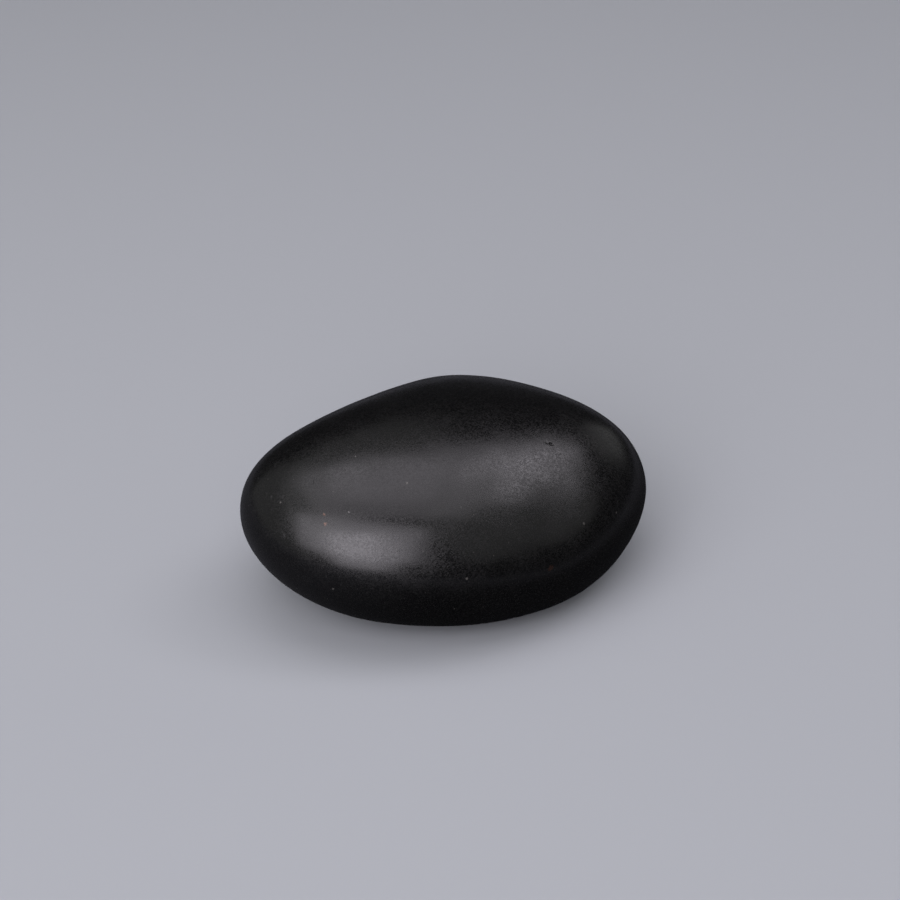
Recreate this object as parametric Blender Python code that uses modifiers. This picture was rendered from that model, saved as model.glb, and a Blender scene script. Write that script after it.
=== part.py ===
"""Basalt massage stone: one smooth, water-worn pebble with a satin polish.

The stone is one natural piece, so it is one object. It starts as a subdivided block that is
rounded into a ball. Broad places on that cage are then worn in or left full, the way a river
shapes a pebble: the underside is worn to a low crown, so that the stone is widest low down, the
tips are full, the back ends in a blunt corner that is worn off more on the left, and the front
right is worn too. A subdivision surface makes it smooth, it is stretched to its driving
dimensions, and a small flat is worn on the underside, so that it rests without rocking.

Units are metres. +X runs along the length, +Y across the width and +Z up. The origin is on the
surface that the stone rests on, under the middle of its box.
"""

from math import cos, radians, sin
from typing import NamedTuple

import bmesh
import bpy
from mathutils import Vector

# Driving dimensions
LENGTH = 0.080
WIDTH = 0.064
THICKNESS = 0.036
REST_FLAT_DEPTH = 0.0003    # how much of the underside is worn away to make the resting flat

# Form. Lengths are shares of the half size, because the cage is shaped as a ball of radius 1.
CAGE_CUTS = 3
ROUNDNESS = 1.0             # 0 is a square block, 1 is a ball
SMOOTHING_LEVELS = 2

# Finish
BASALT_COLOUR = (0.021, 0.021, 0.023, 1.0)
BASALT_ROUGHNESS = 0.4


class Place(NamedTuple):
    """A broad place on the stone that is left full or worn in.

    azimuth and elevation, in degrees, say where it is as seen from the middle of the stone:
    azimuth 0 is +X and 90 is +Y. rise is how far the surface stands out there, or below zero how
    far it is worn in, and reach is how far around the place that fades out.
    """

    azimuth: float
    elevation: float
    rise: float
    reach: float


PLACES = {
    "belly": Place(0, -90, -0.40, 1.3),
    "back": Place(90, 15, 0.13, 1.1),
    "back_left": Place(135, 15, -0.25, 1.1),
    "back_right": Place(45, 30, -0.07, 1.1),
    "left_tip": Place(180, 30, 0.25, 1.1),
    "right_tip": Place(0, 30, 0.15, 1.1),
    "front_left": Place(225, 0, 0.14, 1.1),
    "front_right": Place(315, 30, -0.22, 1.1),
    "under_front_left": Place(225, -35, -0.09, 1.1),
    "under_front_right": Place(315, -35, -0.06, 1.1),
}


def clear_scene():
    """Remove every object that the file starts with."""
    for obj in list(bpy.data.objects):
        bpy.data.objects.remove(obj, do_unlink=True)


def new_collection(name):
    """Make a collection in the scene and return it."""
    collection = bpy.data.collections.new(name)
    bpy.context.scene.collection.children.link(collection)
    return collection


def basalt_material():
    """Near-black basalt with a satin polish."""
    material = bpy.data.materials.new("basalt")
    material.use_nodes = True
    surface = material.node_tree.nodes["Principled BSDF"]
    surface.inputs["Base Color"].default_value = BASALT_COLOUR
    surface.inputs["Roughness"].default_value = BASALT_ROUGHNESS
    surface.inputs["Metallic"].default_value = 0.0
    return material


def direction_to(place):
    """The unit vector from the stone's middle to a place on it."""
    azimuth = radians(place.azimuth)
    elevation = radians(place.elevation)
    return Vector((
        cos(azimuth) * cos(elevation),
        sin(azimuth) * cos(elevation),
        sin(elevation),
    ))


def rounded_cage(name):
    """A subdivided block, rounded into a ball that is 2 units across."""
    bpy.ops.mesh.primitive_cube_add(size=2)
    cage = bpy.context.active_object
    cage.name = name
    cage.data.name = name
    bpy.ops.object.mode_set(mode="EDIT")
    bpy.ops.mesh.select_all(action="SELECT")
    bpy.ops.mesh.subdivide(number_cuts=CAGE_CUTS)
    bpy.ops.transform.tosphere(value=ROUNDNESS)
    bpy.ops.object.mode_set(mode="OBJECT")
    cage.dimensions = (2, 2, 2)
    bpy.ops.object.transform_apply(location=True, rotation=True, scale=True)
    return cage


def shape_at(cage, place):
    """Move the cage's corner nearest to a place out or in, and what lies within reach less."""
    direction = direction_to(place)
    nearest = max(cage.data.vertices, key=lambda corner: corner.co.normalized().dot(direction))
    nearest_index = nearest.index

    bpy.ops.object.mode_set(mode="EDIT")
    bpy.ops.mesh.select_all(action="DESELECT")
    bpy.ops.object.mode_set(mode="OBJECT")
    cage.data.vertices[nearest_index].select = True
    bpy.ops.object.mode_set(mode="EDIT")
    bpy.ops.transform.translate(
        value=direction * place.rise,
        use_proportional_edit=True,
        proportional_edit_falloff="SMOOTH",
        proportional_size=place.reach,
    )
    bpy.ops.object.mode_set(mode="OBJECT")


def smooth_by_subdivision(stone):
    """Turn the cage into its smooth limit surface."""
    smoothing = stone.modifiers.new("smooth_surface", "SUBSURF")
    smoothing.levels = SMOOTHING_LEVELS
    smoothing.render_levels = SMOOTHING_LEVELS
    bpy.ops.object.modifier_apply(modifier=smoothing.name)


def stretch_to_size(stone):
    """Give the stone its driving dimensions, with the depth of its resting flat below z = 0."""
    uncut_thickness = THICKNESS + REST_FLAT_DEPTH
    stone.dimensions = (LENGTH, WIDTH, uncut_thickness)
    bpy.ops.object.transform_apply(location=True, rotation=True, scale=True)

    lowest = Vector([min(corner.co[axis] for corner in stone.data.vertices) for axis in range(3)])
    wanted_lowest = Vector((-LENGTH / 2, -WIDTH / 2, -REST_FLAT_DEPTH))
    stone.location = wanted_lowest - lowest
    bpy.ops.object.transform_apply(location=True, rotation=True, scale=True)


def wear_resting_flat(stone):
    """Cut the underside off at z = 0 and close it with one flat face."""
    mesh = bmesh.new()
    mesh.from_mesh(stone.data)
    cut = bmesh.ops.bisect_plane(
        mesh,
        geom=mesh.verts[:] + mesh.edges[:] + mesh.faces[:],
        dist=1e-7,
        plane_co=(0, 0, 0),
        plane_no=(0, 0, -1),
        clear_outer=True,
    )
    rim = [item for item in cut["geom_cut"] if isinstance(item, bmesh.types.BMEdge)]
    bmesh.ops.contextual_create(mesh, geom=rim)
    bmesh.ops.recalc_face_normals(mesh, faces=mesh.faces[:])
    mesh.to_mesh(stone.data)
    mesh.free()


def build_stone():
    """Model the whole stone and return its object."""
    stone = rounded_cage("basalt_stone")
    for place in PLACES.values():
        shape_at(stone, place)
    smooth_by_subdivision(stone)
    stretch_to_size(stone)
    wear_resting_flat(stone)
    stone.data.shade_smooth()
    stone.data.materials.append(basalt_material())
    return stone


def main():
    """Build the massage stone in a collection of its own."""
    clear_scene()
    collection = new_collection("basalt_massage_stone")
    stone = build_stone()
    for holder in list(stone.users_collection):
        holder.objects.unlink(stone)
    collection.objects.link(stone)


main()
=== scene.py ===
"""Basalt massage stone: a smooth, water-worn pebble on a plain pale floor in soft studio light.

The stone is one natural piece of near-black basalt with a satin polish. Its form is made here as
in the CAD model, from a rounded cage with broad worn and full places, at a much finer
resolution, and then gets what the CAD model leaves out: the slow undulation of its skin, small
pits where grains fell out, and the finish itself.

Units are metres. +X runs along the length, +Y across the width and +Z up.
"""

import logging
from dataclasses import dataclass, field
from enum import Enum
from math import cos, pi, radians, sin
from typing import Dict, List, Tuple

import bpy
from mathutils import Matrix, Vector


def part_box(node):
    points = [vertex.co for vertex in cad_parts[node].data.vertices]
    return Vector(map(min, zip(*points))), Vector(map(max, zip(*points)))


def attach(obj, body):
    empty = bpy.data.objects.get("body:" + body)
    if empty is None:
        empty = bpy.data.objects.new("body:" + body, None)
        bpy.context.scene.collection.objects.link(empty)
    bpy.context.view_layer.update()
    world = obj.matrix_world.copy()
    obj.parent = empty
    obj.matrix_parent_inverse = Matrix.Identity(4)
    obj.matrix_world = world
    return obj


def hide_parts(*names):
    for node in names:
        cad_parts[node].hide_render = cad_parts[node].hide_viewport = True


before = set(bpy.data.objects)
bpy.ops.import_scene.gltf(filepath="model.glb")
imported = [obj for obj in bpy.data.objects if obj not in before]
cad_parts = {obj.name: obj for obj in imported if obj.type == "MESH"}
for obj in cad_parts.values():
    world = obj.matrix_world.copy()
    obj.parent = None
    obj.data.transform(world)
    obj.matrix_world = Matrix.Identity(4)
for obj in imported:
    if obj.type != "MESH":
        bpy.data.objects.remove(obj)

LOG = logging.getLogger("massage_stone")

Colour = Tuple[float, float, float, float]
Corner = Tuple[float, float, float]

STONE_NODE = "basalt_stone"
ROOT_BODY = "root"

MILLIMETRE = 0.001


# ---------------------------------------------------------------------------
# Modelling helpers
# ---------------------------------------------------------------------------


def direction(azimuth: float, elevation: float) -> Vector:
    """Give the unit vector that points at an azimuth and an elevation.

    Args:
        azimuth: Degrees about +Z, with 0 along +X and 90 along +Y.
        elevation: Degrees above the horizontal.

    Returns:
        The unit vector.
    """
    turn = radians(azimuth)
    rise = radians(elevation)
    return Vector((cos(turn) * cos(rise), sin(turn) * cos(rise), sin(rise)))


def start_alone() -> None:
    """Leave edit mode and deselect everything, so that an operator acts on nothing else."""
    if bpy.context.object and bpy.context.object.mode != "OBJECT":
        bpy.ops.object.mode_set(mode="OBJECT")
    bpy.ops.object.select_all(action="DESELECT")


def work_on(piece: bpy.types.Object) -> None:
    """Select one object alone and make it the active one.

    Args:
        piece: The object that the next operators act on.
    """
    start_alone()
    piece.select_set(True)
    bpy.context.view_layer.objects.active = piece


def apply_place(piece: bpy.types.Object) -> None:
    """Put an object's location, rotation and scale into its mesh.

    Args:
        piece: The object, which ends up at the origin, unturned and unscaled.
    """
    work_on(piece)
    bpy.ops.object.transform_apply(location=True, rotation=True, scale=True)


def apply_modifier(piece: bpy.types.Object, modifier: bpy.types.Modifier) -> None:
    """Apply one modifier to an object's mesh.

    Args:
        piece: The object.
        modifier: The modifier on it.
    """
    work_on(piece)
    bpy.ops.object.modifier_apply(modifier=modifier.name)


def mesh_box(piece: bpy.types.Object) -> Tuple[Vector, Vector]:
    """Measure the box round an object's own mesh.

    Args:
        piece: The object.

    Returns:
        The lowest and the highest corner.
    """
    corners = [vertex.co for vertex in piece.data.vertices]
    lowest = Vector([min(corner[axis] for corner in corners) for axis in range(3)])
    highest = Vector([max(corner[axis] for corner in corners) for axis in range(3)])
    return lowest, highest


# ---------------------------------------------------------------------------
# Shader helpers and shared node groups
# ---------------------------------------------------------------------------


class Shader:
    """Adds and links nodes in one node tree."""

    def __init__(self, tree: bpy.types.NodeTree) -> None:
        """Keep the tree that the nodes go in."""
        self.tree = tree

    def add(self, kind: str, label: str, **settings: object) -> bpy.types.Node:
        """Add a node.

        Args:
            kind: The node's type, such as ShaderNodeTexNoise.
            label: The name that the node shows.
            settings: Properties to set on the node.

        Returns:
            The new node.
        """
        node = self.tree.nodes.new(kind)
        node.label = label
        node.name = label
        for name, value in settings.items():
            setattr(node, name, value)
        return node

    def join(self, source: bpy.types.NodeSocket, target: bpy.types.NodeSocket) -> None:
        """Link an output to an input."""
        self.tree.links.new(source, target)

    def feed(self, node: bpy.types.Node, values: Dict[object, object]) -> None:
        """Give inputs of a node what they need.

        Args:
            node: The node.
            values: Each input's name or index, with the socket to link to it or its own value.
        """
        for name, value in values.items():
            if isinstance(value, bpy.types.NodeSocket):
                self.join(value, node.inputs[name])
            else:
                node.inputs[name].default_value = value

    def number(self, label: str, operation: str, *values: object) -> bpy.types.NodeSocket:
        """Add a Math node.

        Args:
            label: The name that the node shows.
            operation: The Math node's operation.
            values: A socket or a number for each of its inputs in turn.

        Returns:
            The node's output socket.
        """
        node = self.add("ShaderNodeMath", label, operation=operation)
        self.feed(node, dict(enumerate(values)))
        return node.outputs[0]

    def remap(self, label: str, value: bpy.types.NodeSocket, low: float, high: float,
              to_low: float = 0.0, to_high: float = 1.0,
              smooth: bool = True) -> bpy.types.NodeSocket:
        """Add a Map Range node.

        Args:
            label: The name that the node shows.
            value: The socket to remap.
            low: The value that becomes to_low.
            high: The value that becomes to_high.
            to_low: The result at low.
            to_high: The result at high.
            smooth: Whether the step is a smooth one.

        Returns:
            The node's output socket.
        """
        node = self.add("ShaderNodeMapRange", label)
        node.interpolation_type = "SMOOTHSTEP" if smooth else "LINEAR"
        self.feed(node, {"Value": value, "From Min": low, "From Max": high,
                         "To Min": to_low, "To Max": to_high})
        return node.outputs["Result"]

    def mix_colour(self, label: str, mask: bpy.types.NodeSocket, under: object,
                   over: object) -> bpy.types.NodeSocket:
        """Lay one colour over another through a mask.

        Args:
            label: The name that the node shows.
            mask: 0 shows the colour under, 1 the colour over.
            under: A socket or a colour.
            over: A socket or a colour.

        Returns:
            The mixed colour's socket.
        """
        node = self.add("ShaderNodeMix", label, data_type="RGBA")
        self.feed(node, {0: mask, 6: under, 7: over})
        return node.outputs[2]

    def noise(self, label: str, place: bpy.types.NodeSocket, **values: object) -> bpy.types.NodeSocket:
        """Add a Noise Texture node.

        Args:
            label: The name that the node shows.
            place: The coordinates.
            values: A socket or a number for its inputs, such as Scale and Detail.

        Returns:
            The socket of its value, which is about 0.5 on average.
        """
        node = self.add("ShaderNodeTexNoise", label)
        self.feed(node, {"Vector": place, **values})
        return node.outputs["Fac"]

    def effect(self, label: str, group: bpy.types.NodeTree, place: bpy.types.NodeSocket,
               values: Dict[str, object]) -> bpy.types.Node:
        """Add one of the shared node groups.

        Args:
            label: The name that the node shows.
            group: The node group.
            place: The coordinates for its Place input.
            values: Its other inputs that differ from their defaults.

        Returns:
            The group's node.
        """
        node = self.add("ShaderNodeGroup", label)
        node.node_tree = group
        self.feed(node, {"Place": place, **values})
        return node


class Socket(Enum):
    """The types of socket that the node groups have."""

    FLOAT = "NodeSocketFloat"
    VECTOR = "NodeSocketVector"


def new_group(name: str, inputs: Dict[str, Tuple[Socket, object]],
              outputs: Dict[str, Socket]) -> Tuple[Shader, bpy.types.Node, bpy.types.Node]:
    """Make a shader node group with its sockets and nothing between them.

    Args:
        name: The group's name.
        inputs: Each input's name, with its socket type and its default value or None.
        outputs: Each output's name, with its socket type.

    Returns:
        A Shader that adds nodes to the group, the node that gives the group's inputs, and the
        node that takes its outputs.
    """
    group = bpy.data.node_groups.new(name, "ShaderNodeTree")
    for label, (kind, default) in inputs.items():
        socket = group.interface.new_socket(label, in_out="INPUT", socket_type=kind.value)
        if default is not None:
            socket.default_value = default
    for label, kind in outputs.items():
        group.interface.new_socket(label, in_out="OUTPUT", socket_type=kind.value)
    shader = Shader(group)
    return shader, shader.add("NodeGroupInput", "inputs"), shader.add("NodeGroupOutput", "outputs")


def mineral_grain_group() -> bpy.types.NodeTree:
    """Make the group for the even, fine crystal grain of a dense rock.

    Returns:
        The group. Its Grain output is about 0.5 on average and its Facets output gives each
        crystal its own value between 0 and 1.
    """
    shader, source, result = new_group(
        "mineral_grain",
        {"Place": (Socket.VECTOR, None), "Crystals per Metre": (Socket.FLOAT, 3000.0)},
        {"Grain": Socket.FLOAT, "Facets": Socket.FLOAT},
    )
    crystals = shader.add("ShaderNodeTexVoronoi", "crystals", feature="F1")
    shader.feed(crystals, {"Vector": source.outputs["Place"],
                           "Scale": source.outputs["Crystals per Metre"]})
    shade = shader.add("ShaderNodeSeparateColor", "crystal_shade")
    shader.join(crystals.outputs["Color"], shade.inputs["Color"])

    scale = shader.number("groundmass_scale", "MULTIPLY", source.outputs["Crystals per Metre"], 0.6)
    groundmass = shader.noise("groundmass", source.outputs["Place"], Scale=scale, Detail=3.0,
                              Roughness=0.75)
    shader.join(groundmass, result.inputs["Grain"])
    shader.join(shade.outputs["Red"], result.inputs["Facets"])
    return shader.tree


def scattered_specks_group() -> bpy.types.NodeTree:
    """Make the group for small specks that are scattered sparsely through a rock.

    Returns:
        The group. Its Mask output is 1 in a speck and 0 elsewhere.
    """
    shader, source, result = new_group(
        "scattered_specks",
        {
            "Place": (Socket.VECTOR, None),
            "Cells per Metre": (Socket.FLOAT, 600.0),
            "Share of Cells": (Socket.FLOAT, 0.1),
            "Radius in Cells": (Socket.FLOAT, 0.12),
        },
        {"Mask": Socket.FLOAT},
    )
    scale = shader.number("outline_scale", "MULTIPLY", source.outputs["Cells per Metre"], 4.0)
    ragged = shader.noise("ragged_outline", source.outputs["Place"], Scale=scale, Detail=2.0)
    cells = shader.add("ShaderNodeTexVoronoi", "cells", feature="F1")
    shader.feed(cells, {"Vector": source.outputs["Place"], "Scale": source.outputs["Cells per Metre"]})
    draw = shader.add("ShaderNodeSeparateColor", "cell_draw")
    shader.join(cells.outputs["Color"], draw.inputs["Color"])

    chosen = shader.number("is_chosen", "LESS_THAN", draw.outputs["Red"],
                           source.outputs["Share of Cells"])
    wobble = shader.number("wobble", "MULTIPLY_ADD", ragged, 0.9, 0.55)
    uneven_size = shader.number("uneven_size", "MULTIPLY_ADD", draw.outputs["Green"], 0.8, 0.4)
    radius = shader.number("speck_radius", "MULTIPLY", source.outputs["Radius in Cells"], uneven_size)
    radius = shader.number("ragged_radius", "MULTIPLY", radius, wobble)
    inside = shader.number("depth_inside", "SUBTRACT", radius, cells.outputs["Distance"])
    body = shader.remap("speck_body", inside, 0.0, 0.02)
    mask = shader.number("mask", "MULTIPLY", body, chosen)
    shader.join(mask, result.inputs["Mask"])
    return shader.tree


def hair_scratches_group() -> bpy.types.NodeTree:
    """Make the group for hair-fine scratches that run roughly one way in patches.

    Returns:
        The group. Its Mask output is 1 along a scratch and 0 elsewhere.
    """
    shader, source, result = new_group(
        "hair_scratches",
        {
            "Place": (Socket.VECTOR, None),
            "Scratches per Metre": (Socket.FLOAT, 900.0),
            "Patches per Metre": (Socket.FLOAT, 40.0),
            "Amount": (Socket.FLOAT, 0.5),
        },
        {"Mask": Socket.FLOAT},
    )
    stretch = shader.add("ShaderNodeMapping", "along_the_scratches")
    shader.feed(stretch, {"Vector": source.outputs["Place"], "Rotation": (0.0, 0.0, radians(35.0)),
                          "Scale": (1.0, 0.05, 0.05)})
    lines = shader.noise("lines", stretch.outputs["Vector"], Detail=1.0, Distortion=0.15,
                         Scale=source.outputs["Scratches per Metre"])
    offset = shader.number("from_middle", "SUBTRACT", lines, 0.5)
    offset = shader.number("either_side", "ABSOLUTE", offset)
    thin = shader.remap("thin_line", offset, 0.0, 0.012, 1.0, 0.0)

    patches = shader.noise("patches", source.outputs["Place"], Detail=2.0,
                           Scale=source.outputs["Patches per Metre"])
    where = shader.remap("where", patches, 0.52, 0.66)
    mask = shader.number("in_patches", "MULTIPLY", thin, where)
    mask = shader.number("amount", "MULTIPLY", mask, source.outputs["Amount"])
    shader.join(mask, result.inputs["Mask"])
    return shader.tree


def weathered_skin_group() -> bpy.types.NodeTree:
    """Make the group for small ragged blotches where a polished skin is worn open.

    Returns:
        The group. Its Mask output is 1 in a blotch and 0 elsewhere. Amount runs from 0, with
        no blotches, to 1, with about a third of the skin covered.
    """
    shader, source, result = new_group(
        "weathered_skin",
        {
            "Place": (Socket.VECTOR, None),
            "Blotches per Metre": (Socket.FLOAT, 500.0),
            "Amount": (Socket.FLOAT, 0.2),
        },
        {"Mask": Socket.FLOAT},
    )
    blotches = shader.noise("blotches", source.outputs["Place"], Detail=6.0, Roughness=0.62,
                            Distortion=0.4, Scale=source.outputs["Blotches per Metre"])
    level = shader.number("raised_by_amount", "MULTIPLY_ADD", source.outputs["Amount"], 0.22, blotches)
    mask = shader.remap("mask", level, 0.72, 0.80)
    shader.join(mask, result.inputs["Mask"])
    return shader.tree


def round_spot_group() -> bpy.types.NodeTree:
    """Make the group for one spot at a given place.

    Returns:
        The group. Its Mask output is 1 in the spot and fades to 0 over the Fade distance.
    """
    shader, source, result = new_group(
        "round_spot",
        {
            "Place": (Socket.VECTOR, None),
            "Middle": (Socket.VECTOR, None),
            "Radius": (Socket.FLOAT, 0.0005),
            "Fade": (Socket.FLOAT, 0.0002),
            "Raggedness": (Socket.FLOAT, 0.5),
        },
        {"Mask": Socket.FLOAT},
    )
    away = shader.add("ShaderNodeVectorMath", "away_from_middle", operation="DISTANCE")
    shader.feed(away, {0: source.outputs["Place"], 1: source.outputs["Middle"]})
    scale = shader.number("outline_scale", "DIVIDE", 1.2, source.outputs["Radius"])
    ragged = shader.noise("ragged_outline", source.outputs["Place"], Scale=scale, Detail=3.0)
    wobble = shader.number("wobble", "SUBTRACT", ragged, 0.5)
    wobble = shader.number("wobble_size", "MULTIPLY", wobble, source.outputs["Raggedness"])
    wobble = shader.number("wobble_reach", "MULTIPLY", wobble, source.outputs["Radius"])
    reach = shader.number("reach", "MULTIPLY_ADD", wobble, 4.0, source.outputs["Radius"])
    inside = shader.number("depth_inside", "SUBTRACT", reach, away.outputs["Value"])
    share = shader.number("share_of_fade", "DIVIDE", inside, source.outputs["Fade"])
    mask = shader.remap("mask", share, 0.0, 1.0)
    shader.join(mask, result.inputs["Mask"])
    return shader.tree


@dataclass(frozen=True)
class Speck:
    """One kind of speck in the rock.

    Attributes:
        name: The mineral, in plain words.
        colour: Linear colour of the speck.
        cells_per_metre: How finely the rock is divided into cells that may hold one.
        share: The share of the cells that hold one.
        radius: The speck's radius as a share of its cell.
    """

    name: str
    colour: Colour
    cells_per_metre: float
    share: float
    radius: float


@dataclass(frozen=True)
class Mark:
    """One small mark that stands by itself on the skin.

    Attributes:
        name: What it is.
        middle: Where it is, in millimetres from the middle of the stone's base.
        radius: Its radius in millimetres.
        colour: Its linear colour.
    """

    name: str
    middle: Corner
    radius: float
    colour: Colour


@dataclass(frozen=True)
class SatinBasalt:
    """The satin-polished skin of a near-black basalt pebble.

    Attributes:
        colour: Linear colour of the rock.
        dark: Linear colour of its darker crystals.
        pepper: Linear colour of the fine pale grains that pepper it.
        roughness: Roughness of the polished skin.
        specular: Specular level, which is that of a rock with an index of about 1.65.
        crystals_per_metre: Fineness of its grain.
        grain_height: Height of the grain, in metres.
        mottle_height: Height of the slower mottling, in metres.
        scratch_depth: Depth of a hair scratch, in metres.
        blotch_depth: Depth of a worn blotch, in metres.
        specks: The kinds of specks that are scattered through the rock.
        marks: The marks that stand by themselves.
        mark_softness: How broadly a mark's edge fades out, as a share of its radius.
        weathered_end: X at which the left end is weathered in full, and X where the weathering
            has faded out, in metres.
        weathered_amount: Amount of worn blotches on the weathered end.
        sound_amount: Amount of worn blotches elsewhere.
        scratched_middle: The middle of the patch with the most hair scratches, in metres.
        scratched_radius: Radius of that patch, in metres.
        scratched_fade: Distance over which that patch fades out, in metres.
        handled_per_metre: Fineness of the patches that handling has polished more or less.
        mottle_per_metre: Fineness of the slower mottling.
    """

    colour: Colour = (0.0019, 0.0018, 0.0018, 1.0)
    dark: Colour = (0.0009, 0.0009, 0.0010, 1.0)
    pepper: Colour = (0.0085, 0.0082, 0.0079, 1.0)
    roughness: float = 0.27
    specular: float = 0.75
    crystals_per_metre: float = 4200.0
    grain_height: float = 0.009 * MILLIMETRE
    mottle_height: float = 0.008 * MILLIMETRE
    scratch_depth: float = 0.012 * MILLIMETRE
    blotch_depth: float = 0.016 * MILLIMETRE
    specks: Tuple[Speck, ...] = (
        Speck("feldspar", (0.070, 0.066, 0.060, 1.0), 420.0, 0.050, 0.10),
        Speck("fine_feldspar", (0.045, 0.042, 0.039, 1.0), 1300.0, 0.06, 0.15),
        Speck("rust", (0.050, 0.018, 0.008, 1.0), 260.0, 0.010, 0.08),
    )
    marks: Tuple[Mark, ...] = (
        Mark("rust_speck", (-25.0, -23.2, 26.5), 0.40, (0.150, 0.070, 0.042, 1.0)),
        Mark("rust_speck_above", (-25.1, -21.8, 27.7), 0.34, (0.120, 0.056, 0.034, 1.0)),
        Mark("rust_stain", (16.5, -26.5, 15.4), 0.70, (0.016, 0.006, 0.003, 1.0)),
        Mark("pale_speck_left", (-32.7, -16.3, 27.5), 0.22, (0.120, 0.115, 0.105, 1.0)),
        Mark("pale_speck_top", (-18.2, -11.9, 33.7), 0.22, (0.110, 0.105, 0.100, 1.0)),
        Mark("pale_speck_right", (36.1, -5.0, 22.6), 0.25, (0.110, 0.105, 0.100, 1.0)),
        Mark("pale_speck_front", (-20.6, -22.7, 28.4), 0.20, (0.140, 0.135, 0.130, 1.0)),
        Mark("pale_speck_low", (-24.3, -28.3, 15.6), 0.26, (0.085, 0.080, 0.072, 1.0)),
    )
    mark_softness: float = 0.6
    weathered_end: Tuple[float, float] = (-0.036, -0.024)
    weathered_amount: float = 0.55
    sound_amount: float = 0.20
    scratched_middle: Corner = (0.0208, -0.0106, 0.0290)
    scratched_radius: float = 7.0 * MILLIMETRE
    scratched_fade: float = 4.0 * MILLIMETRE
    handled_per_metre: float = 180.0
    mottle_per_metre: float = 420.0

    def material(self) -> bpy.types.Material:
        """Make the stone's material.

        Returns:
            The material, which reads Object coordinates only.
        """
        material = bpy.data.materials.new("satin_basalt")
        material.use_nodes = True
        material.node_tree.nodes.clear()
        shader = Shader(material.node_tree)

        place = shader.add("ShaderNodeTexCoord", "place").outputs["Object"]
        skin = shader.add("ShaderNodeBsdfPrincipled", "skin")
        output = shader.add("ShaderNodeOutputMaterial", "output")
        shader.join(skin.outputs["BSDF"], output.inputs["Surface"])
        skin.inputs["Specular IOR Level"].default_value = self.specular

        grain = shader.effect("grain", mineral_grain_group(), place,
                              {"Crystals per Metre": self.crystals_per_metre})
        blotches = self._blotches(shader, place)
        round_spot = round_spot_group()
        scratches = self._scratches(shader, place, round_spot)

        colour = self._rock_colour(shader, place, grain)
        colour = self._add_specks(shader, place, colour)
        colour = self._add_marks(shader, place, round_spot, colour)
        shader.join(colour, skin.inputs["Base Color"])
        roughness = self._roughness(shader, place, grain, scratches, blotches)
        shader.join(roughness, skin.inputs["Roughness"])
        shader.join(self._relief(shader, place, grain, scratches, blotches), skin.inputs["Normal"])
        return material

    def _blotches(self, shader: Shader, place: bpy.types.NodeSocket) -> bpy.types.NodeSocket:
        """Spread worn blotches: many on the weathered end and few elsewhere.

        Args:
            shader: The material's nodes.
            place: The coordinates.

        Returns:
            The mask's socket.
        """
        axes = shader.add("ShaderNodeSeparateXYZ", "axes")
        shader.join(place, axes.inputs["Vector"])
        worn, sound = self.weathered_end
        amount = shader.remap("weathered", axes.outputs["X"], worn, sound,
                              self.weathered_amount, self.sound_amount)
        return shader.effect("worn_blotches", weathered_skin_group(), place,
                             {"Amount": amount}).outputs["Mask"]

    def _scratches(self, shader: Shader, place: bpy.types.NodeSocket,
                   round_spot: bpy.types.NodeTree) -> bpy.types.NodeSocket:
        """Lay hair scratches: a few everywhere and most in one patch.

        Args:
            shader: The material's nodes.
            place: The coordinates.
            round_spot: The group that marks the patch.

        Returns:
            The mask's socket.
        """
        patch = shader.effect("scratched_patch", round_spot, place, {
            "Middle": self.scratched_middle,
            "Radius": self.scratched_radius,
            "Fade": self.scratched_fade,
        })
        amount = shader.remap("scratch_amount", patch.outputs["Mask"], 0.0, 1.0, 0.35, 1.0)
        return shader.effect("scratches", hair_scratches_group(), place,
                             {"Amount": amount}).outputs["Mask"]

    def _rock_colour(self, shader: Shader, place: bpy.types.NodeSocket,
                     grain: bpy.types.Node) -> bpy.types.NodeSocket:
        """Mix the rock's colours by its crystals and pepper it with fine pale grains.

        Args:
            shader: The material's nodes.
            place: The coordinates.
            grain: The grain group's node.

        Returns:
            The colour's socket.
        """
        blend = shader.remap("crystal_blend", grain.outputs["Facets"], 0.1, 0.9)
        colour = shader.mix_colour("rock", blend, self.dark, self.colour)
        grains = shader.noise("pepper_grains", place, Scale=self.crystals_per_metre, Detail=1.0)
        pepper = shader.remap("pepper", grains, 0.54, 0.72)
        return shader.mix_colour("peppered_rock", pepper, colour, self.pepper)

    def _add_specks(self, shader: Shader, place: bpy.types.NodeSocket,
                    colour: bpy.types.NodeSocket) -> bpy.types.NodeSocket:
        """Lay each kind of speck over the rock's colour.

        Args:
            shader: The material's nodes.
            place: The coordinates.
            colour: The rock's colour.

        Returns:
            The colour with the specks.
        """
        group = scattered_specks_group()
        for speck in self.specks:
            specks = shader.effect(speck.name + "_specks", group, place, {
                "Cells per Metre": speck.cells_per_metre,
                "Share of Cells": speck.share,
                "Radius in Cells": speck.radius,
            })
            colour = shader.mix_colour("with_" + speck.name, specks.outputs["Mask"], colour, speck.colour)
        return colour

    def _add_marks(self, shader: Shader, place: bpy.types.NodeSocket, round_spot: bpy.types.NodeTree,
                   colour: bpy.types.NodeSocket) -> bpy.types.NodeSocket:
        """Lay each single mark over the colour.

        Args:
            shader: The material's nodes.
            place: The coordinates.
            round_spot: The group that marks one spot.
            colour: The colour so far.

        Returns:
            The colour with the marks.
        """
        for mark in self.marks:
            spot = shader.effect(mark.name, round_spot, place, {
                "Middle": Vector(mark.middle) * MILLIMETRE,
                "Radius": mark.radius * MILLIMETRE,
                "Fade": mark.radius * MILLIMETRE * self.mark_softness,
            })
            colour = shader.mix_colour("with_" + mark.name, spot.outputs["Mask"], colour, mark.colour)
        return colour

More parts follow.
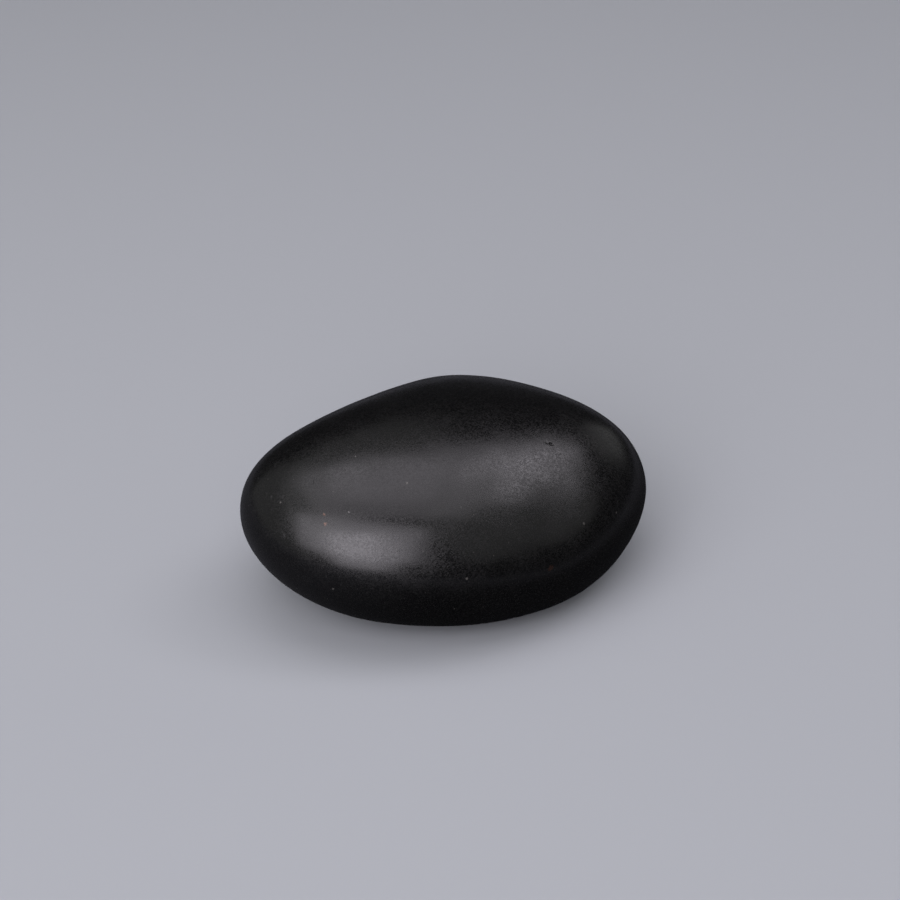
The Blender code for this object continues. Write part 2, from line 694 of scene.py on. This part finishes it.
    def _roughness(self, shader: Shader, place: bpy.types.NodeSocket, grain: bpy.types.Node,
                   scratches: bpy.types.NodeSocket,
                   blotches: bpy.types.NodeSocket) -> bpy.types.NodeSocket:
        """Vary the roughness with handling, grain, scratches and blotches.

        Args:
            shader: The material's nodes.
            place: The coordinates.
            grain: The grain group's node.
            scratches: The scratches' mask.
            blotches: The blotches' mask.

        Returns:
            The roughness socket.
        """
        handled = shader.noise("handled_patches", place, Scale=self.handled_per_metre, Detail=6.0,
                               Roughness=0.6)
        value = shader.remap("handled", handled, 0.3, 0.7, self.roughness - 0.03, self.roughness + 0.04)
        speckle = shader.remap("grain_gloss", grain.outputs["Facets"], 0.0, 1.0, -0.09, 0.09, smooth=False)
        value = shader.number("with_grain", "ADD", value, speckle)
        value = shader.number("with_scratches", "MULTIPLY_ADD", scratches, 0.10, value)
        return shader.number("with_blotches", "MULTIPLY_ADD", blotches, 0.16, value)

    def _relief(self, shader: Shader, place: bpy.types.NodeSocket, grain: bpy.types.Node,
                scratches: bpy.types.NodeSocket,
                blotches: bpy.types.NodeSocket) -> bpy.types.NodeSocket:
        """Give the skin its micro relief.

        Args:
            shader: The material's nodes.
            place: The coordinates.
            grain: The grain group's node.
            scratches: The scratches' mask.
            blotches: The blotches' mask.

        Returns:
            The normal's socket.
        """
        mottle = shader.noise("mottle", place, Scale=self.mottle_per_metre, Detail=3.0)
        height = shader.number("grain_height", "MULTIPLY", grain.outputs["Grain"], self.grain_height)
        height = shader.number("with_mottle", "MULTIPLY_ADD", mottle, self.mottle_height, height)
        groove = shader.number("scratch_depth", "MULTIPLY", scratches, self.scratch_depth)
        height = shader.number("less_scratches", "SUBTRACT", height, groove)
        hollow = shader.number("blotch_depth", "MULTIPLY", blotches, self.blotch_depth)
        height = shader.number("less_blotches", "SUBTRACT", height, hollow)
        bump = shader.add("ShaderNodeBump", "skin_relief")
        shader.feed(bump, {"Strength": 1.0, "Distance": 1.0, "Height": height})
        return bump.outputs["Normal"]


# ---------------------------------------------------------------------------
# The stone
# ---------------------------------------------------------------------------


@dataclass(frozen=True)
class FormPlace:
    """A broad place on the stone that is left full or worn in.

    Attributes:
        azimuth: Degrees about +Z from the stone's middle, with 0 along +X.
        elevation: Degrees above the horizontal.
        rise: How far it stands out, or below zero how far it is worn in, as a share of the
            half size.
        reach: How far around the place that fades out, as a share of the half size.
    """

    azimuth: float
    elevation: float
    rise: float
    reach: float


@dataclass(frozen=True)
class SmallPlace:
    """A small place on the smooth surface that is raised or sunk.

    Attributes:
        middle: A point beside it, in millimetres from the middle of the stone's base.
        rise: How far it is raised, or below zero how far it is sunk, in millimetres.
        reach: How far around it that fades out, in millimetres.
    """

    middle: Corner
    rise: float
    reach: float


@dataclass
class BasaltStone:
    """The stone, shaped as in the CAD model and then refined.

    Attributes:
        lowest: The lowest corner of the CAD node's box.
        highest: The highest corner of the CAD node's box.
        flat_depth: How much of the underside is worn away to make the resting flat.
        cage_cuts: Cuts across each side of the block that the cage starts as.
        smoothing_levels: Levels of subdivision.
        undulation_depth: Depth of the skin's slow undulation, crest to trough, in metres.
        undulation_length: Distance from one crest to the next, in metres.
        pit_refinements: How often the mesh round a pit is subdivided.
        pit_cuts: Cuts across each side of a face in one such subdivision.
        pit_margin: How far round a pit that goes, as a multiple of the pit's reach.
        form: The broad places that shape the cage, in the order that they are made.
        shoulders: The smaller places that shape the smooth surface.
        pits: The pits and chips, which are modelled in locally refined mesh.
    """

    lowest: Vector
    highest: Vector
    flat_depth: float = 0.3 * MILLIMETRE
    cage_cuts: int = 3
    smoothing_levels: int = 4
    undulation_depth: float = 0.14 * MILLIMETRE
    undulation_length: float = 11.0 * MILLIMETRE
    pit_refinements: int = 2
    pit_cuts: int = 3
    pit_margin: float = 1.3
    form: Dict[str, FormPlace] = field(default_factory=lambda: {
        "belly": FormPlace(0, -90, -0.40, 1.3),
        "back": FormPlace(90, 15, 0.13, 1.1),
        "back_left": FormPlace(135, 15, -0.25, 1.1),
        "back_right": FormPlace(45, 30, -0.07, 1.1),
        "left_tip": FormPlace(180, 30, 0.25, 1.1),
        "right_tip": FormPlace(0, 30, 0.15, 1.1),
        "front_left": FormPlace(225, 0, 0.14, 1.1),
        "front_right": FormPlace(315, 30, -0.22, 1.1),
        "under_front_left": FormPlace(225, -35, -0.09, 1.1),
        "under_front_right": FormPlace(315, -35, -0.06, 1.1),
    })
    shoulders: Dict[str, SmallPlace] = field(default_factory=lambda: {
        "front_right_shoulder": SmallPlace((26.0, -19.0, 18.0), 0.55, 12.0),
        "worn_above_right_tip": SmallPlace((34.5, -5.0, 23.5), -0.50, 12.0),
    })
    pits: Dict[str, SmallPlace] = field(default_factory=lambda: {
        "open_pit": SmallPlace((19.3, -7.6, 31.0), -0.24, 0.48),
        "open_pit_side": SmallPlace((19.7, -7.6, 30.9), -0.20, 0.40),
        "open_pit_tail": SmallPlace((18.6, -7.6, 31.3), -0.08, 0.45),
        "front_left_vug": SmallPlace((-24.7, -28.1, 15.6), -0.10, 0.60),
        "front_left_chip": SmallPlace((-29.1, -25.7, 16.8), -0.14, 1.50),
        "left_end_chip": SmallPlace((-34.7, -13.2, 27.6), -0.11, 0.90),
        "left_end_vug": SmallPlace((-34.0, -14.3, 27.6), -0.09, 0.60),
        "back_chip": SmallPlace((11.0, 27.0, 21.0), -0.14, 1.60),
        "back_vug": SmallPlace((-14.0, 22.0, 27.0), -0.07, 0.90),
        "right_end_vug": SmallPlace((37.5, 9.0, 20.0), -0.12, 0.70),
    })

    def build(self) -> bpy.types.Object:
        """Model the stone.

        Returns:
            The finished object, at the origin.
        """
        stone = self._rounded_cage()
        for place in self.form.values():
            self._shape_at(stone, place)
        self._smooth(stone)
        self._fit_to_box(stone)
        self._undulate(stone)
        for place in self.shoulders.values():
            self._shape_small(stone, place)
        self._fit_to_box(stone)
        self._wear_resting_flat(stone)
        self._refine_round_pits(stone)
        for pit in self.pits.values():
            self._shape_small(stone, pit)
        work_on(stone)
        bpy.ops.object.shade_smooth()
        return stone

    def _rounded_cage(self) -> bpy.types.Object:
        """Make a subdivided block, rounded into a ball that is 2 units across.

        Returns:
            The cage object.
        """
        start_alone()
        bpy.ops.mesh.primitive_cube_add(size=2)
        cage = bpy.context.object
        cage.name = "polished_basalt_stone"
        cage.data.name = cage.name
        bpy.ops.object.mode_set(mode="EDIT")
        bpy.ops.mesh.select_all(action="SELECT")
        bpy.ops.mesh.subdivide(number_cuts=self.cage_cuts)
        bpy.ops.transform.tosphere(value=1.0)
        bpy.ops.object.mode_set(mode="OBJECT")
        cage.dimensions = (2, 2, 2)
        apply_place(cage)
        return cage

    def _shape_at(self, cage: bpy.types.Object, place: FormPlace) -> None:
        """Move the cage's corner nearest to a place, and what lies within its reach less.

        Args:
            cage: The cage object.
            place: Where, how far and how broadly to shape it.
        """
        outwards = direction(place.azimuth, place.elevation)
        nearest = max(cage.data.vertices, key=lambda corner: corner.co.normalized().dot(outwards))
        self._pull(cage, nearest.index, outwards * place.rise, place.reach)

    def _pull(self, piece: bpy.types.Object, corner: int, shift: Vector, reach: float) -> None:
        """Move one vertex with proportional editing.

        Args:
            piece: The object.
            corner: The vertex's index.
            shift: How far it moves.
            reach: How far around it the others move less and less.
        """
        work_on(piece)
        bpy.ops.object.mode_set(mode="EDIT")
        bpy.ops.mesh.select_all(action="DESELECT")
        bpy.ops.object.mode_set(mode="OBJECT")
        piece.data.vertices[corner].select = True
        bpy.ops.object.mode_set(mode="EDIT")
        bpy.ops.transform.translate(
            value=shift,
            use_proportional_edit=True,
            proportional_edit_falloff="SMOOTH",
            proportional_size=reach,
        )
        bpy.ops.object.mode_set(mode="OBJECT")

    def _smooth(self, stone: bpy.types.Object) -> None:
        """Turn the cage into its smooth limit surface."""
        smoothing = stone.modifiers.new("smooth_surface", "SUBSURF")
        smoothing.levels = self.smoothing_levels
        smoothing.render_levels = self.smoothing_levels
        apply_modifier(stone, smoothing)

    def _undulate(self, stone: bpy.types.Object) -> None:
        """Give the skin its slow, shallow undulation.

        Args:
            stone: The stone object.
        """
        swell = bpy.data.textures.new("slow_undulation", "CLOUDS")
        swell.noise_scale = self.undulation_length
        swell.noise_depth = 1
        undulation = stone.modifiers.new("undulation", "DISPLACE")
        undulation.texture = swell
        undulation.texture_coords = "LOCAL"
        undulation.strength = self.undulation_depth
        undulation.mid_level = 0.5
        apply_modifier(stone, undulation)

    def _place_on(self, place: SmallPlace) -> Vector:
        """Give the point beside a small place, in metres in the scene.

        Args:
            place: The small place.

        Returns:
            The point.
        """
        middle = (self.lowest + self.highest) / 2
        base = Vector((middle.x, middle.y, self.lowest.z))
        return base + Vector(place.middle) * MILLIMETRE

    def _shape_small(self, stone: bpy.types.Object, place: SmallPlace) -> None:
        """Raise or sink a small place along the surface's normal.

        Args:
            stone: The stone object.
            place: Where, how far and how broadly.
        """
        point = self._place_on(place)
        nearest = min(stone.data.vertices, key=lambda vertex: (vertex.co - point).length)
        shift = nearest.normal * place.rise * MILLIMETRE
        self._pull(stone, nearest.index, shift, place.reach * MILLIMETRE)

    def _refine_round_pits(self, stone: bpy.types.Object) -> None:
        """Subdivide the square faces around the pits, so that the mesh can hold them.

        Args:
            stone: The stone object.
        """
        margin = self.pit_margin * MILLIMETRE
        pits = [(self._place_on(pit), pit.reach * margin) for pit in self.pits.values()]
        work_on(stone)
        for _ in range(self.pit_refinements):
            bpy.ops.object.mode_set(mode="EDIT")
            bpy.ops.mesh.select_mode(type="FACE")
            bpy.ops.mesh.select_all(action="DESELECT")
            bpy.ops.object.mode_set(mode="OBJECT")
            for face in stone.data.polygons:
                is_near = any((face.center - point).length < reach for point, reach in pits)
                face.select = is_near and len(face.vertices) == 4
            bpy.ops.object.mode_set(mode="EDIT")
            bpy.ops.mesh.subdivide(number_cuts=self.pit_cuts)
            bpy.ops.mesh.select_mode(type="VERT")
            bpy.ops.object.mode_set(mode="OBJECT")

    def _fit_to_box(self, stone: bpy.types.Object) -> None:
        """Stretch the stone to the CAD node's box, with the flat's depth below it.

        Args:
            stone: The stone object.
        """
        bottom = self.lowest - Vector((0, 0, self.flat_depth))
        stone.dimensions = self.highest - bottom
        apply_place(stone)
        lowest, _ = mesh_box(stone)
        stone.location = bottom - lowest
        apply_place(stone)

    def _wear_resting_flat(self, stone: bpy.types.Object) -> None:
        """Cut the underside off at the box's lowest level and close it with a flat face.

        Args:
            stone: The stone object.
        """
        work_on(stone)
        bpy.ops.object.mode_set(mode="EDIT")
        bpy.ops.mesh.select_all(action="SELECT")
        bpy.ops.mesh.bisect(
            plane_co=(0, 0, self.lowest.z),
            plane_no=(0, 0, -1),
            use_fill=True,
            clear_outer=True,
            threshold=1e-7,
        )
        bpy.ops.object.mode_set(mode="OBJECT")


# ---------------------------------------------------------------------------
# The studio
# ---------------------------------------------------------------------------


LILAC_WHITE = (1.0, 0.95, 1.03)


@dataclass(frozen=True)
class Softbox:
    """One soft rectangular studio light, aimed at the stone.

    Attributes:
        name: What the light does.
        azimuth: Degrees about +Z from the stone's middle, with 0 along +X.
        elevation: Degrees above the horizontal.
        distance: Metres from the stone's middle.
        width: Metres across.
        height: Metres up.
        radiance: Brightness of its surface.
        colour: Linear colour.
        roll: Degrees that it is turned about the line to the stone.
    """

    name: str
    azimuth: float
    elevation: float
    distance: float
    width: float
    height: float
    radiance: float
    colour: Tuple[float, float, float] = (1.0, 1.0, 1.0)
    roll: float = 0.0

    def hang(self, middle: Vector) -> bpy.types.Object:
        """Place the light in the scene.

        Args:
            middle: The point that it is aimed at.

        Returns:
            The light object, which the camera doesn't see.
        """
        lamp = bpy.data.lights.new(self.name, "AREA")
        lamp.shape = "RECTANGLE"
        lamp.size = self.width
        lamp.size_y = self.height
        lamp.energy = self.radiance * self.width * self.height * pi
        lamp.color = self.colour
        holder = bpy.data.objects.new(self.name, lamp)
        bpy.context.scene.collection.objects.link(holder)
        outwards = direction(self.azimuth, self.elevation)
        holder.location = middle + outwards * self.distance
        aim = outwards.to_track_quat("Z", "Y").to_matrix().to_4x4()
        spin = Matrix.Rotation(radians(self.roll), 4, "Z")
        holder.rotation_euler = (aim @ spin).to_euler()
        holder.visible_camera = False
        return holder


@dataclass
class Studio:
    """The pale floor, the lights and the dim room around them.

    Attributes:
        floor_colour: Linear colour of the floor as it is seen.
        mirrored_painted_contact_shadow: Linear colour that the polish mirrors where the floor is close to
            the stone;
            this is a painted contact shadow, the shade under and round the stone painted into the
            mirrored floor's colour.
        mirrored_far: Linear colour that the polish mirrors where the floor is far from the stone.
        painted_contact_shadow_ramp: Metres from the stone's middle at which the mirrored floor starts to
            turn paler, and at which it is as pale as it gets, so where the painted contact shadow fades
            out.
        painted_key_light_side: X in metres below which the mirrored floor is painted paler, a painted pool
            of the key light, and X where that painted light has faded out.
        painted_key_light_share: How far that painted key light goes towards mirrored_far.
        floor_radius: Radius of the floor in metres.
        floor_sides: Number of sides of the floor's outline.
        backdrop_ramp: Metres from the stone's middle at which the floor starts to blend into the
            backdrop, and at which it has done so in full.
        room_tone: Linear colour of the dim room, which lights the stone faintly.
        backdrop_tone: Linear colour that is seen past the floor.
        softboxes: The lights.
    """

    floor_colour: Colour = (0.52, 0.55, 0.57, 1.0)
    mirrored_painted_contact_shadow: Colour = (0.028, 0.029, 0.031, 1.0)
    mirrored_far: Colour = (0.150, 0.155, 0.170, 1.0)
    painted_contact_shadow_ramp: Tuple[float, float] = (0.060, 0.220)
    painted_key_light_side: Tuple[float, float] = (-0.055, 0.0)
    painted_key_light_share: float = 0.6
    floor_radius: float = 6.0
    floor_sides: int = 96
    backdrop_ramp: Tuple[float, float] = (0.35, 1.30)
    room_tone: Colour = (0.024, 0.024, 0.026, 1.0)
    backdrop_tone: Colour = (0.41, 0.42, 0.46, 1.0)
    softboxes: Tuple[Softbox, ...] = (
        Softbox("overhead_softbox", 82.5, 89.9, 0.80, 1.01, 0.76, 0.79, LILAC_WHITE, roll=7.0),
        Softbox("overhead_core", 98.5, 82.0, 0.80, 0.51, 0.45, 0.55, LILAC_WHITE, roll=-15.0),
        Softbox("overhead_right_strip", 20.0, 57.0, 1.10, 0.26, 0.36, 1.30, LILAC_WHITE, roll=-5.0),
        Softbox("key_softbox", 240.0, 38.0, 1.20, 1.52, 0.96, 1.60, LILAC_WHITE, roll=4.0),
        Softbox("key_core", 245.5, 25.5, 1.20, 0.66, 0.93, 2.00, LILAC_WHITE, roll=8.0),
        Softbox("left_wash", 183.0, 32.5, 1.20, 2.44, 1.54, 0.20, roll=-5.0),
        Softbox("far_left_wash", 146.0, 60.0, 1.20, 2.06, 0.59, 0.18, roll=-10.0),
        Softbox("right_card", 3.5, 48.5, 1.20, 0.41, 0.26, 2.10, LILAC_WHITE, roll=4.0),
        Softbox("upper_right_card", 34.0, 21.0, 1.20, 0.56, 0.40, 0.34),
        Softbox("near_right_wash", -35.5, 45.5, 1.20, 1.23, 1.08, 0.22, roll=10.0),
    )

    def build(self, middle: Vector) -> None:
        """Build the floor, the lights and the room.

        Args:
            middle: The stone's middle.
        """
        self._lay_floor()
        for softbox in self.softboxes:
            softbox.hang(middle)
            LOG.info("light %s, radiance %.2f", softbox.name, softbox.radiance)
        self._tone_room()

    def _lay_floor(self) -> None:
        """Make the plain pale floor that the stone rests on."""
        start_alone()
        bpy.ops.mesh.primitive_circle_add(vertices=self.floor_sides, radius=self.floor_radius,
                                          fill_type="NGON")
        floor = bpy.context.object
        floor.name = "studio_floor"
        floor.data.materials.append(self._floor_paper())

    def _floor_paper(self) -> bpy.types.Material:
        """Make the floor's matt paper.

        The polish mirrors it in a darker tone than the camera sees. Painted into that mirrored tone
        are a contact shadow, darkest close to the stone, and a pool of key light that makes it paler
        on the side of the key light. Far away it blends into the backdrop.

        Returns:
            The material.
        """
        material = bpy.data.materials.new("floor_paper")
        material.use_nodes = True
        shader = Shader(material.node_tree)
        paper = material.node_tree.nodes["Principled BSDF"]
        output = material.node_tree.nodes["Material Output"]
        rays = shader.add("ShaderNodeLightPath", "rays")
        place = shader.add("ShaderNodeTexCoord", "place").outputs["Object"]
        away = shader.add("ShaderNodeVectorMath", "away_from_stone", operation="LENGTH")
        shader.join(place, away.inputs[0])
        axes = shader.add("ShaderNodeSeparateXYZ", "axes")
        shader.join(place, axes.inputs["Vector"])

        # Painted contact shadow: the mirrored floor is painted darkest close to the stone.
        distance = shader.remap("distance", away.outputs["Value"], *self.painted_contact_shadow_ramp)
        # Painted key light: the mirrored floor is painted paler on the side of the key light.
        painted_key_light_side = shader.remap("painted_key_light_side", axes.outputs["X"], *self.painted_key_light_side, self.painted_key_light_share, 0.0)
        pale = shader.number("painted_shade_and_light_share", "MAXIMUM", distance, painted_key_light_side)
        mirrored = shader.mix_colour("mirrored", pale, self.mirrored_painted_contact_shadow, self.mirrored_far)
        tone = shader.mix_colour("tone", rays.outputs["Is Glossy Ray"], self.floor_colour, mirrored)
        shader.feed(paper, {"Base Color": tone, "Roughness": 0.95, "Specular IOR Level": 0.1})

        glow = shader.add("ShaderNodeEmission", "backdrop")
        glow.inputs["Color"].default_value = self.backdrop_tone
        far = shader.remap("far", away.outputs["Value"], *self.backdrop_ramp)
        seen_far = shader.number("seen_far", "MULTIPLY", far, rays.outputs["Is Camera Ray"])
        blend = shader.add("ShaderNodeMixShader", "blend_into_backdrop")
        shader.feed(blend, {0: seen_far, 1: paper.outputs["BSDF"], 2: glow.outputs["Emission"]})
        shader.join(blend.outputs["Shader"], output.inputs["Surface"])
        return material

    def _tone_room(self) -> None:
        """Give the room a dim tone, and a pale one where the camera sees past the floor."""
        world = bpy.data.worlds.new("studio_room")
        world.use_nodes = True
        world.node_tree.nodes.clear()
        shader = Shader(world.node_tree)
        rays = shader.add("ShaderNodeLightPath", "rays")
        tone = shader.mix_colour("tone", rays.outputs["Is Camera Ray"], self.room_tone, self.backdrop_tone)
        background = shader.add("ShaderNodeBackground", "background")
        shader.join(tone, background.inputs["Color"])
        output = shader.add("ShaderNodeOutputWorld", "output")
        shader.join(background.outputs["Background"], output.inputs["Surface"])
        bpy.context.scene.world = world


@dataclass(frozen=True)
class Viewpoint:
    """Where the camera stands.

    Attributes:
        azimuth: Degrees round the stone, with 0 looking along +Y.
        elevation: Degrees above the horizontal.
        distance: Metres from the point that the camera looks at.
        aim: The point that it looks at, measured from the middle of the stone's base.
        lens: Focal length in millimetres on a 36 mm sensor.
    """

    azimuth: float = -7.5
    elevation: float = 30.8
    distance: float = 0.4564
    aim: Corner = (0.0025, 0.0109, 0.0200)
    lens: float = 92.0

    def set_camera(self, base: Vector) -> bpy.types.Object:
        """Make the scene's camera.

        Args:
            base: The middle of the stone's base.

        Returns:
            The camera object.
        """
        turn = radians(self.azimuth)
        rise = radians(self.elevation)
        back = Vector((sin(turn) * cos(rise), -cos(turn) * cos(rise), sin(rise)))
        camera = bpy.data.objects.new("studio_camera", bpy.data.cameras.new("studio_camera"))
        bpy.context.scene.collection.objects.link(camera)
        camera.location = base + Vector(self.aim) + back * self.distance
        camera.rotation_euler = (-back).to_track_quat("-Z", "Y").to_euler()
        camera.data.lens = self.lens
        camera.data.sensor_width = 36.0
        camera.data.clip_start = 0.01
        camera.data.clip_end = 50.0
        bpy.context.scene.camera = camera
        return camera


def main() -> None:
    """Build the stone, the studio and the camera."""
    logging.basicConfig(level=logging.INFO, format="%(message)s")
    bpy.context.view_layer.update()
    lowest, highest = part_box(STONE_NODE)

    stone = BasaltStone(lowest, highest)
    piece = stone.build()
    piece.data.materials.append(SatinBasalt().material())
    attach(piece, ROOT_BODY)
    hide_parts(STONE_NODE)
    LOG.info("%s: %d faces", piece.name, len(piece.data.polygons))

    middle = (lowest + highest) / 2
    Studio().build(middle)
    Viewpoint().set_camera(Vector((middle.x, middle.y, lowest.z)))
    bpy.context.scene.view_settings.view_transform = "Standard"


if __name__ == "__main__":
    main()
